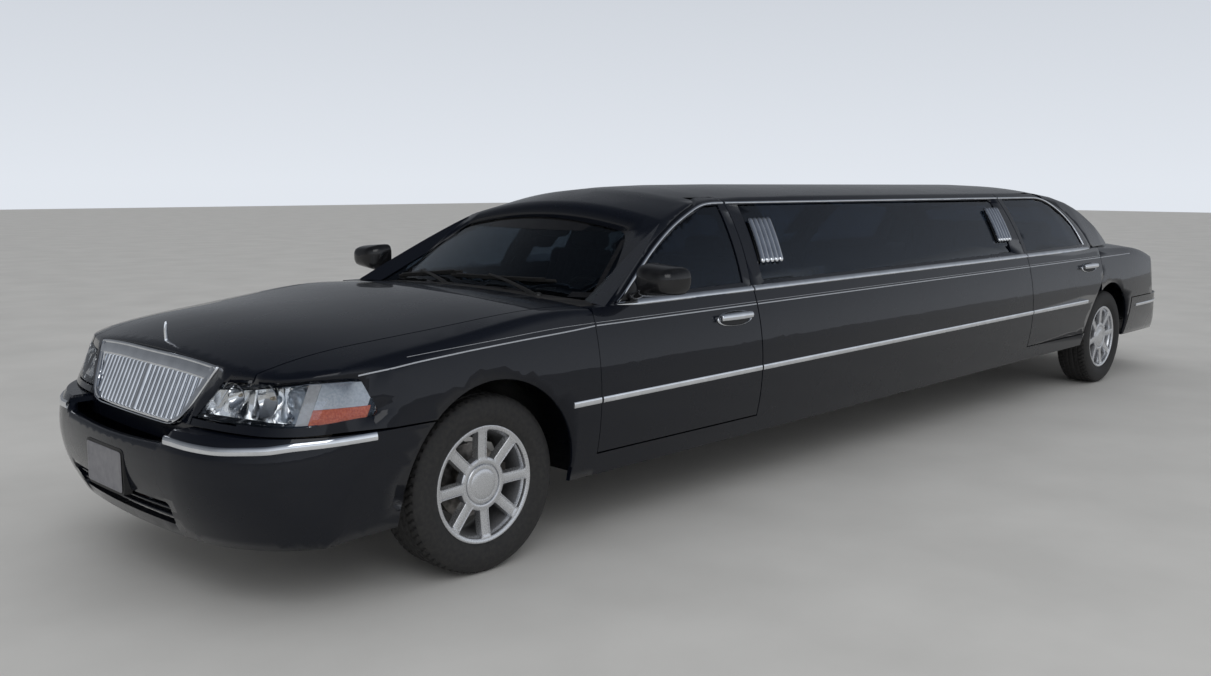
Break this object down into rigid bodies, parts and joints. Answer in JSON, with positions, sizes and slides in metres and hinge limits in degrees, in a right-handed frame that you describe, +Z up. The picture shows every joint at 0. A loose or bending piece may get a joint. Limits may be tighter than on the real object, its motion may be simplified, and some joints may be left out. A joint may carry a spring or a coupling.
{
  "type": "stretch limousine",
  "caption": "Long four-door limousine with a lengthened middle body, an upright bar grille, chrome side trim, a rear lounge and a separate boot; doors, lids, wheels and steering move.",
  "frame": {"origin": "middle of the bounding box on the ground", "axes": "+X forward along the car's length, +Y to its left, +Z up"},
  "size_m": [8.5168, 2.3538, 1.495],
  "materials": {
    "paint": "gloss near-black metallic paint under clear coat",
    "chrome": "polished chrome plate",
    "lamp_clear": "clear lens over bright reflectors",
    "lamp_red": "red lens",
    "glass": "dark tinted glass",
    "chassis": "satin black chassis coating",
    "cast": "rough cast iron",
    "engine": "rough casting",
    "steel": "plain drawn steel",
    "exhaust": "heat-stained steel",
    "trim": "grained black plastic",
    "leather": "black stitched leather",
    "wood": "dark lacquered veneer",
    "tyre": "black rubber",
    "alloy": "machined bright alloy"
  },
  "bodies": {
    "car": {"ladder_frame": "chassis", "floor_pan": "chassis", "cowl": "chassis", "roof": "paint", "side_frames": "paint", "front_fenders": "paint", "rear_body": "paint", "front_bumper": "paint", "rear_bumper": "paint", "headlamps": "lamp_clear", "tail_lamps": "lamp_red", "windscreen": "glass", "rear_window": "glass", "stretch_glass": "glass", "front_suspension": "cast", "rear_axle": "cast", "engine_block": "engine", "drive_shaft": "steel", "exhaust": "exhaust", "dashboard": "trim", "front_seats": "leather", "partition": "trim", "bar_cabinet": "wood", "rear_seats": "leather"},
    "hood": {"hood": "paint", "grille": "chrome"},
    "boot_lid": {"boot_lid": "paint"},
    "steering_wheel": {"steering_wheel": "trim"},
    "front_left_door": {"front_left_door": "paint", "front_left_glass": "glass", "left_mirror": "paint"},
    "rear_left_door": {"rear_left_door": "paint", "rear_left_glass": "glass"},
    "left_knuckle": {"left_knuckle": "cast"},
    "front_right_door": {"front_right_door": "paint", "front_right_glass": "glass", "right_mirror": "paint"},
    "rear_right_door": {"rear_right_door": "paint", "rear_right_glass": "glass"},
    "right_knuckle": {"right_knuckle": "cast"},
    "front_left_wheel": {"front_left_tyre": "tyre", "front_left_rim": "alloy"},
    "front_right_wheel": {"front_right_tyre": "tyre", "front_right_rim": "alloy"},
    "rear_left_wheel": {"rear_left_tyre": "tyre", "rear_left_rim": "alloy"},
    "rear_right_wheel": {"rear_right_tyre": "tyre", "rear_right_rim": "alloy"}
  },
  "joints": [
    {"name": "left_steering", "type": "hinge", "parent": "car", "child": "left_knuckle", "pos_m": [3.1835, 0.69, 0.351], "axis": [0, 0, 1], "range_deg": [-35, 35]},
    {"name": "front_left_wheel_spin", "type": "hinge", "parent": "left_knuckle", "child": "front_left_wheel", "pos_m": [3.1835, 0.805, 0.351], "axis": [0, 1, 0], "continuous": true},
    {"name": "rear_left_wheel_spin", "type": "hinge", "parent": "car", "child": "rear_left_wheel", "pos_m": [-2.8545, 0.83, 0.351], "axis": [0, 1, 0], "continuous": true},
    {"name": "front_left_door_hinge", "type": "hinge", "parent": "car", "child": "front_left_door", "pos_m": [2.6005, 0.977, 0.7], "axis": [0, 0, -1], "range_deg": [0, 68]},
    {"name": "rear_left_door_hinge", "type": "hinge", "parent": "car", "child": "rear_left_door", "pos_m": [-1.5045, 0.977, 0.7], "axis": [0, 0, -1], "range_deg": [0, 68]},
    {"name": "right_steering", "type": "hinge", "parent": "car", "child": "right_knuckle", "pos_m": [3.1835, -0.69, 0.351], "axis": [0, 0, 1], "range_deg": [-35, 35]},
    {"name": "front_right_wheel_spin", "type": "hinge", "parent": "right_knuckle", "child": "front_right_wheel", "pos_m": [3.1835, -0.805, 0.351], "axis": [0, 1, 0], "continuous": true},
    {"name": "rear_right_wheel_spin", "type": "hinge", "parent": "car", "child": "rear_right_wheel", "pos_m": [-2.8545, -0.83, 0.351], "axis": [0, 1, 0], "continuous": true},
    {"name": "front_right_door_hinge", "type": "hinge", "parent": "car", "child": "front_right_door", "pos_m": [2.6005, -0.977, 0.7], "axis": [0, 0, 1], "range_deg": [0, 68]},
    {"name": "rear_right_door_hinge", "type": "hinge", "parent": "car", "child": "rear_right_door", "pos_m": [-1.5045, -0.977, 0.7], "axis": [0, 0, 1], "range_deg": [0, 68]},
    {"name": "hood_hinge", "type": "hinge", "parent": "car", "child": "hood", "pos_m": [2.634, 0, 1.03], "axis": [0, -1, 0], "range_deg": [0, 50]},
    {"name": "boot_hinge", "type": "hinge", "parent": "car", "child": "boot_lid", "pos_m": [-3.505, 0, 1.06], "axis": [0, 1, 0], "range_deg": [0, 80]},
    {"name": "steering_wheel_turn", "type": "hinge", "parent": "car", "child": "steering_wheel", "pos_m": [2.0535, 0.38, 0.88], "axis": [-0.9135, 0, 0.4067], "range_deg": [-525, 525]}
  ],
  "couplings": [
    {"joint": "right_steering", "follows": "left_steering", "ratio": 1},
    {"joint": "steering_wheel_turn", "follows": "left_steering", "ratio": 15}
  ]
}
